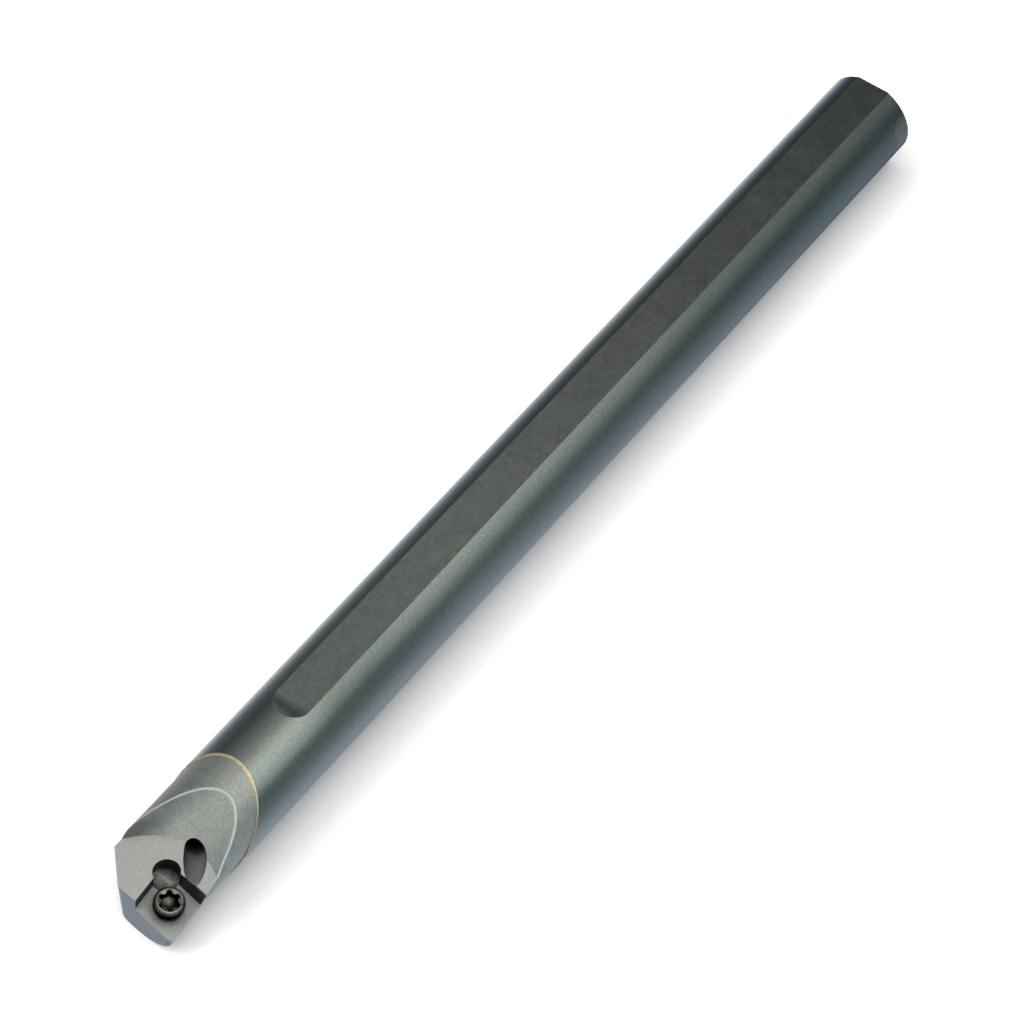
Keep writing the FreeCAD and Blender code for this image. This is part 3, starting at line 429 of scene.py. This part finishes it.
def screw_material():
    m, T, b, pos = material("steel_blackened")
    rel = T.node("ShaderNodeVectorMath", operation="SUBTRACT")
    T.put(rel.inputs[0], pos)
    rel.inputs[1].default_value = tuple(SEAT)
    u, v, w = (T.dot(rel.outputs[0], d) for d in (U, V, W))
    r = T.math("SQRT", T.math("ADD", T.math("MULTIPLY", u, u), T.math("MULTIPLY", v, v)))
    mott = T.noise(pos, 2.2, 3.0, 0.6, 0.4)
    grain = T.noise(pos, 9.0, 3.0, 0.65)
    # turning marks follow the radius
    comb = T.node("ShaderNodeCombineXYZ")
    T.put(comb.inputs[0], T.math("MULTIPLY", r, 14.0))
    T.put(comb.inputs[1], T.math("MULTIPLY", w, 14.0))
    marks = T.noise(comb.outputs[0], 1.0, 3.0, 0.6)
    col = T.mix(T.span(mott, 0.3, 0.7), (0.150, 0.146, 0.134), (0.235, 0.228, 0.210))
    col = T.mix(T.span(grain, 0.35, 0.7), T.mix(1.0, col, (0.82, 0.82, 0.82), "MULTIPLY"), T.mix(1.0, col, (1.25, 1.24, 1.2), "MULTIPLY"))
    # painted shade: the head darkens down its side to black under the crest
    head = T.math("GREATER_THAN", r, 1.45)
    side = T.ramp(T.span(T.math("ADD", w, T.math("MULTIPLY", T.math("SUBTRACT", mott, 0.5), 0.25)), 1.0, 2.4),
                  [(0.0, 0.002), (0.50, 0.004), (0.64, 0.07), (0.78, 0.26), (0.90, 0.56), (1.0, 0.90)])
    col = T.mix(head, col, T.mix(1.0, col, side, "MULTIPLY"))
    # the camera's up direction lies towards (-0.734, -0.679) in the seat's plane: painted light makes the land on that
    # side the brighter one
    lean = T.math("DIVIDE", T.math("ADD", T.math("MULTIPLY", u, -0.734), T.math("MULTIPLY", v, -0.679)), T.math("MAXIMUM", r, 0.01))
    land = T.math("MULTIPLY", T.math("LESS_THAN", r, 1.43), T.math("GREATER_THAN", w, 2.24))
    lcol = T.ramp(T.span(T.math("ADD", lean, T.math("MULTIPLY", T.math("SUBTRACT", mott, 0.5), 0.8)), -1.0, 1.0),
                  [(0.0, 0.98), (0.45, 0.95), (0.62, 1.00), (0.80, 1.14), (1.0, 1.14)])
    col = T.mix(land, col, T.mix(1.0, col, lcol, "MULTIPLY"))
    # socket: painted shade: black walls, a grey floor that darkens away from a point off its centre, towards the
    # camera's right and towards its edge
    inner = T.math("MULTIPLY", T.math("LESS_THAN", r, 1.31), T.math("LESS_THAN", w, 2.245))
    wall = T.ramp(T.span(w, 1.1, 2.25), [(0.0, 0.015), (0.85, 0.02), (1.0, 0.12)])
    fu, fv = T.math("ADD", u, 0.42), T.math("ADD", v, 0.29)
    fr = T.math("SQRT", T.math("ADD", T.math("MULTIPLY", fu, fu), T.math("MULTIPLY", fv, fv)))
    bottom = T.ramp(T.span(T.math("ADD", fr, T.math("MULTIPLY", T.math("SUBTRACT", mott, 0.5), 0.35)), 0.0, 1.3),
                    [(0.0, 0.66), (0.27, 0.55), (0.46, 0.40), (0.62, 0.27), (0.80, 0.15), (1.0, 0.07)])
    right = T.math("ADD", T.math("MULTIPLY", u, -0.61), T.math("MULTIPLY", v, 0.79))
    bottom = T.mix(1.0, bottom, T.ramp(T.span(right, 0.05, 0.70), [(0.0, 1.0), (0.5, 0.45), (1.0, 0.05)]), "MULTIPLY")
    bottom = T.mix(1.0, bottom, T.ramp(T.span(r, 0.0, 1.2), [(0.0, 1.0), (0.70, 1.0), (0.82, 0.12), (1.0, 0.03)]), "MULTIPLY")
    col = T.mix(inner, col, T.mix(1.0, col, T.mix(T.math("LESS_THAN", w, 1.19), wall, bottom), "MULTIPLY"))
    # painted highlight: a bright line on the rim, weaker on the camera's up side, and a faint worn bright line on the
    # socket's edge, partly a painted highlight
    rim_highlight = T.math("MULTIPLY", T.span(T.math("ABSOLUTE", T.math("SUBTRACT", r, 1.422)), 0.058, 0.012), T.math("GREATER_THAN", w, 2.2))
    rim_highlight = T.math("MULTIPLY", rim_highlight, T.span(T.noise(pos, 1.3, 2.0, 0.6), 0.35, 0.60, 0.45, 1.0))
    rim_highlight = T.math("MULTIPLY", rim_highlight, T.span(lean, -0.2, 0.9, 1.0, 0.30))
    edge = T.math("MULTIPLY", edge_mask(T, 0.00006, 0.90, 0.99), T.math("GREATER_THAN", w, 2.2))
    col = T.mix(T.math("MAXIMUM", T.math("MULTIPLY", rim_highlight, 0.66), T.math("MULTIPLY", edge, 0.12)), col, (0.56, 0.55, 0.53))
    T.put(b.inputs["Base Color"], col)
    b.inputs["Metallic"].default_value = 1.0
    b.inputs["Specular Tint"].default_value = (0.45, 0.45, 0.45, 1.0)
    T.put(b.inputs["Roughness"], T.span(mott, 0.2, 0.8, 0.28, 0.40))
    T.put(b.inputs["Normal"], T.bump(T.math("ADD", T.math("MULTIPLY", marks, 0.6), T.math("MULTIPLY", grain, 0.5)), 0.6, 0.00002))
    return m


def dress(obj, mat):
    obj.data.materials.clear()
    obj.data.materials.append(mat)


CARBIDE = shank_material()
STEEL = head_material()
GOLD = braze_material()
BLACK = screw_material()


def set_slots(obj, mat):
    if not obj.material_slots:
        obj.data.materials.append(mat)
    for s in obj.material_slots:
        s.material = mat


set_slots(NODES["shank"], CARBIDE)
set_slots(NODES["head"], STEEL)
set_slots(NODES["braze"], GOLD)
set_slots(NODES["clamp_screw"], BLACK)


# ------------------------------------------------------------------- pieces
def piece(name, verts, faces, body, mat, smooth=True):
    """A mesh piece from points in millimetres in the row frame."""
    me = bpy.data.meshes.new(name)
    me.from_pydata([tuple(c * MM for c in v) for v in verts], [], faces)
    me.validate()
    bm = bmesh.new()
    bm.from_mesh(me)
    bmesh.ops.remove_doubles(bm, verts=bm.verts, dist=1e-8)
    bmesh.ops.recalc_face_normals(bm, faces=bm.faces)
    bm.to_mesh(me)
    bm.free()
    for p in me.polygons:
        p.use_smooth = smooth
    ob = bpy.data.objects.new(name, me)
    bpy.context.scene.collection.objects.link(ob)
    me.materials.append(mat)
    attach(ob, body)
    return ob


def ring_mesh(rings, close_first=None, close_last=None, wrap=False):
    """Faces between rings of equal length; a centre point may close either end."""
    n = len(rings[0])
    verts = [p for r in rings for p in r]
    faces = []
    last = len(rings) if wrap else len(rings) - 1
    for i in range(last):
        j = (i + 1) % len(rings)
        for k in range(n):
            q = (k + 1) % n
            faces.append((i * n + k, i * n + q, j * n + q, j * n + k))
    if close_first is not None:
        verts.append(close_first)
        c = len(verts) - 1
        faces += [(k, (k + 1) % n, c) for k in range(n)]
    if close_last is not None:
        verts.append(close_last)
        c = len(verts) - 1
        o = (len(rings) - 1) * n
        faces += [(o + k, o + (k + 1) % n, c) for k in range(n)]
    return verts, faces


# the fillet of brazing metal that stands in the joint, from the neck up to the ground shank
def wave(a, k, s):
    return math.sin(k * a + s)


def bead():
    joint_x, slope = 134.43, 0.88
    rings = []
    n = 300
    for i in range(12):
        t = 2 * math.pi * i / 12
        ring = []
        for k in range(n):
            a = 2 * math.pi * k / n
            # slightly uneven along the joint, as brazing metal flows
            uneven = 0.5 * wave(a, 7, 0.4) + 0.3 * wave(a, 17, 1.9) + 0.25 * wave(a, 41, 2.2) + 0.2 * wave(a, 67, 0.3)
            half = 0.082 + 0.022 * math.cos(a - 1.15) + 0.016 * uneven
            rad = 5.905 + 0.005 * wave(a, 23, 1.0)
            r = rad + 0.088 * math.cos(t)
            across = half * math.sin(t) - 0.045
            y, z = r * math.cos(a), r * math.sin(a)
            ring.append((joint_x - slope * z + across * math.sqrt(1.0 + (slope * math.sin(a)) ** 2), y, z))
        rings.append(ring)
    v, f = ring_mesh(rings, wrap=True)
    return piece("braze_bead", v, f, "bar", GOLD)


bead()


# the clamping screw, with its thread and its six-lobed socket
def socket_radius(angle, tip, root):
    """Six rounded lobes and six bumps between them, about equally wide."""
    return 0.5 * (tip + root) + 0.5 * (tip - root) * math.tanh(1.7 * math.cos(6 * angle)) / math.tanh(1.7)


def screw():
    N = 180
    turn = math.radians(42.0)
    tip, root, depth, top = 1.26, 0.935, 1.25, 2.40

    def ring(radius, level):
        pts = []
        for k in range(N):
            a = 2 * math.pi * k / N
            r = radius(a) if callable(radius) else radius
            w = level(a) if callable(level) else level
            p = SEAT + U * (r * math.cos(a)) + V * (r * math.sin(a)) + W * w
            pts.append(tuple(p))
        return pts

    def lobes(grow):
        return lambda a: socket_radius(a - turn, tip, root) + grow

    rings = []
    # socket floor: nearly flat, then the corner, the walls, and a broken edge
    for r, w in ((0.12, top - depth - 0.15), (0.30, top - depth - 0.12), (0.52, top - depth - 0.08),
                 (0.70, top - depth - 0.04), (0.80, top - depth - 0.02)):
        rings.append(ring(r, w))
    rings.append(ring(lobes(-0.055), top - depth + 0.0))
    rings.append(ring(lobes(-0.018), top - depth + 0.02))
    rings.append(ring(lobes(0.0), top - depth + 0.07))
    rings.append(ring(lobes(0.0), top - 0.45))
    rings.append(ring(lobes(0.0), top - 0.150))
    rings.append(ring(lobes(0.010), top - 0.118))
    rings.append(ring(lobes(0.028), top - 0.105))
    # top land, dished towards the socket, and the rounded rim
    for s in (0.35, 0.7):
        rings.append(ring(lambda a, s=s: (1 - s) * (socket_radius(a - turn, tip, root) + 0.03) + s * 1.370, top - 0.102 + 0.096 * s))
    rings.append(ring(1.375, top - 0.006))
    rings.append(ring(1.402, top - 0.001))
    rings.append(ring(1.430, top - 0.010))
    rings.append(ring(1.457, top - 0.040))
    for q in range(1, 9):
        s = q / 8.0
        r = 1.457 + 0.345 * math.sin(s * math.pi / 2) ** 0.9
        w = top - 0.040 - 0.560 * (1 - math.cos(s * math.pi / 2))
        rings.append(ring(r, w))
    rings.append(ring(1.825, 1.72))
    rings.append(ring(1.830, 1.60))
    rings.append(ring(1.830, 1.12))
    rings.append(ring(1.818, 1.05))
    rings.append(ring(1.755, 1.00))
    # countersunk underside, then the neck
    cone_end = 1.02 - (1.80 - 1.02) / math.tan(math.radians(30.0))
    for s in (0.25, 0.5, 0.75, 0.97):
        rings.append(ring(1.755 + (1.02 - 1.755) * s, 1.00 + (cone_end - 1.00) * s))
    rings.append(ring(1.00, cone_end - 0.06))
    # thread M2.5 x 0.45: crest 1.215, root 0.965
    pitch, crest, groove = 0.45, 1.215, 0.965
    lo, hi = -3.72, cone_end - 0.16
    steps = int((hi - lo) / 0.03)
    for i in range(steps + 1):
        w = hi + (lo - hi) * i / steps

        def r(a, w=w):
            ph = (w / pitch - a / (2 * math.pi)) % 1.0
            tri = abs(2 * ph - 1)                        # 0 at the crest
            form = max(0.0, min(1.0, (tri - 0.12) / 0.72))
            full = crest - (crest - groove) * form
            # run in at the neck and at the pointed end
            s1 = max(0.0, min(1.0, (hi - w) / 0.35))
            s2 = max(0.0, min(1.0, (w - lo) / 0.30))
            base = 1.00 * (1 - s1) + full * s1
            return min(base, 0.90 + (crest - 0.90) * s2)
        rings.append(ring(r, w))
    rings.append(ring(0.82, lo - 0.04))
    rings.append(ring(0.40, lo - 0.05))
    v, f = ring_mesh(rings, tuple(SEAT + W * (top - depth - 0.16)), tuple(SEAT + W * (lo - 0.05)))
    ob = piece("screw_detailed", v, f, "screw", BLACK)
    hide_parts("clamp_screw")
    return ob


screw_ob = screw()


# -------------------------------------------------------------------- stage
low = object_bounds()[0].z
me = bpy.data.meshes.new("floor")
s = 4.0
me.from_pydata([(-s, -s, low - 0.00002), (s, -s, low - 0.00002), (s, s, low - 0.00002), (-s, s, low - 0.00002)], [], [(0, 1, 2, 3)])
floor = bpy.data.objects.new("floor", me)
bpy.context.scene.collection.objects.link(floor)
fm, FT, fb, fpos = material("floor_paper")
tone = FT.noise(fpos, 0.02, 2.0, 0.5)
# painted contact shadow: the paper darkens by ambient occlusion near the bar
painted_contact_shadow = FT.node("ShaderNodeAmbientOcclusion", samples=12)
painted_contact_shadow.inputs["Distance"].default_value = 0.009
paper = FT.mix(tone, (0.898, 0.870, 0.884), (0.910, 0.882, 0.896))
FT.put(fb.inputs["Base Color"], FT.mix(1.0, paper, FT.ramp(painted_contact_shadow.outputs["AO"], [(0.0, 0.60), (0.5, 0.86), (0.8, 0.955), (1.0, 1.0)]), "MULTIPLY"))
fb.inputs["Roughness"].default_value = 1.0
fb.inputs["Specular IOR Level"].default_value = 0.0
me.materials.append(fm)
floor.visible_glossy = False

# studio surround: a soft gradient round the bar's own axis, brightest high on the +Y side
world = bpy.data.worlds.new("studio")
bpy.context.scene.world = world
world.use_nodes = True
WT = Tree(world.node_tree)
wout = WT.node("ShaderNodeOutputWorld")
bg = WT.node("ShaderNodeBackground")
WT.t.links.new(bg.outputs[0], wout.inputs[0])
wtc = WT.node("ShaderNodeTexCoord")
dx, dy, dz = WT.xyz(wtc.outputs["Generated"])
psi = WT.math("ARCTAN2", dz, dy)
psi = WT.math("ADD", WT.math("MULTIPLY", psi, 0.5 / math.pi), 0.5)


def at(deg):
    return (deg + 180.0) / 360.0


STOPS = [(-180, .20), (-166, .33), (-150, .66), (-140, .90), (-128, 1.04), (-118, .71), (-106, .44), (-90, .46),
         (-66, .62), (-44, .57), (-26, .51), (-8, .36), (4, .30), (14, .34), (24, .51), (34, .78), (44, .96), (54, 1.12),
         (66, 1.28), (80, 1.02), (94, .60), (108, .43), (120, .33), (134, .23), (150, .125), (164, .12), (179, .20)]
TINTS = [(-180, (.90, 1, 1.13)), (-150, (.98, 1, 1.08)), (-110, (.96, 1, 1.17)), (-66, (.90, 1, 1.19)), (-26, (.85, 1, 1.13)),
         (4, (.82, 1, 1.07)), (24, (.86, 1, 1.00)), (44, (.925, 1, .97)), (62, (.955, 1, .94)), (90, (1.02, 1, .95)),
         (114, (.98, 1, .98)), (140, (.95, 1, 1.05)), (179, (.89, 1, 1.11))]
ring = WT.ramp(psi, [(at(a), v / 1.5) for a, v in STOPS])
tint = WT.ramp(psi, [(at(a), tuple(c / 1.2 for c in v)) for a, v in TINTS])
up = WT.span(dz, -0.15, 0.35, 0.0, 1.0, smooth=True)
high = WT.ramp(WT.span(dx, -0.70, -0.30), [(0.0, 0.02), (0.25, 0.04), (0.375, 0.075), (0.49, 0.30), (0.63, 0.72), (0.74, 0.34), (0.80, 0.98), (1.0, 1.06)])
side = WT.ramp(WT.span(dx, -0.70, -0.30), [(0.0, 0.27), (0.25, 0.40), (0.375, 0.58), (0.5, 0.85), (0.63, 0.93), (0.74, 0.80), (0.80, 0.93), (0.86, 1.15), (1.0, 1.20)])
left = WT.ramp(WT.span(dx, -0.70, -0.30), [(0.0, 0.66), (0.25, 0.60), (0.375, 0.48), (0.5, 0.43), (0.74, 0.48), (0.80, 0.54), (1.0, 0.48)])
west = WT.math("MULTIPLY", WT.span(dy, -0.14, -0.50, smooth=True), WT.span(dz, 0.30, -0.50, smooth=True))
scale = WT.mixf(up, side, WT.math("MULTIPLY", high, 1.40))
scale = WT.mixf(west, scale, WT.math("MULTIPLY", left, 2.0))
# far behind: what the run-out of the flat mirrors
scale = WT.mixf(WT.span(dx, -0.74, -0.86, smooth=True), scale, 1.35)
# what the gullet mirrors, ahead of the bar
ahead = WT.span(dx, 0.30, 0.55, smooth=True)
fore = WT.ramp(psi, [(at(a), v / 2.1) for a, v in ((-180, 1.0), (-60, .88), (-40, .82), (-21, .86), (-7, .74), (10, .62), (26, .60), (38, .56), (50, .50), (66, .50), (78, .58), (86, .74), (94, .90), (104, 1.05), (116, 1.35), (128, 1.90), (140, 2.05), (179, 1.5))])
scale = WT.math("MULTIPLY", scale, WT.mixf(ahead, 1.0, WT.math("MULTIPLY", fore, 2.1)))
val = WT.math("MULTIPLY", WT.math("MULTIPLY", ring, 1.5 * 1.2), scale)
lp = WT.node("ShaderNodeLightPath")
tint = WT.mix(1.0, tint, WT.ramp(WT.span(dx, -0.62, -0.50), [(0.0, (0.93, 1.0, 1.0)), (1.0, (1.0, 1.0, 0.93))]), "MULTIPLY")
tint = WT.mix(1.0, tint, (1.0, 1.0, 1.07), "MULTIPLY")
WT.put(bg.inputs["Color"], WT.mix(lp.outputs["Is Camera Ray"], tint, (0.97, 0.97, 0.98)))
WT.put(bg.inputs["Strength"], WT.mixf(lp.outputs["Is Camera Ray"], val, 0.95))


def sun(name, direction, strength, angle, glossy=True, color=(1, 1, 1)):
    """A soft light that comes from the given direction."""
    li = bpy.data.lights.new(name, "SUN")
    li.energy = strength
    li.angle = math.radians(angle)
    li.color = color
    ob = bpy.data.objects.new(name, li)
    bpy.context.scene.collection.objects.link(ob)
    ob.rotation_mode = "QUATERNION"
    ob.rotation_quaternion = Vector(direction).normalized().to_track_quat("Z", "Y")
    ob.visible_glossy = glossy
    return ob


sun("key", (0.40, -0.60, 0.70), 1.95, 55.0, glossy=False)
sun("sky", (0.05, 0.05, 1.0), 1.55, 130.0, glossy=False)

# ------------------------------------------------------------------- camera
cam = bpy.data.cameras.new("photo_camera")
cam.sensor_width = 36.0
cam.lens = 3500.0 / 1024.0 * 36.0
cam.clip_start = 0.01
cam.clip_end = 50.0
cam_ob = bpy.data.objects.new("photo_camera", cam)
bpy.context.scene.collection.objects.link(cam_ob)
cx = Vector((-0.60186671, 0.79858454, 0.00438039))
cy = Vector((-0.64499099, -0.48932804, 0.5869793))
cz = Vector((0.47089605, 0.35045798, 0.80959009))
M = Matrix((cx, cy, cz)).transposed().to_4x4()
M.translation = Vector((277.26925, 148.5201, 339.72086)) * MM
cam_ob.matrix_world = M
bpy.context.scene.camera = cam_ob

vs = bpy.context.scene.view_settings
vs.view_transform = "Standard"
vs.look = "None"
vs.exposure = 0.0
vs.gamma = 1.0
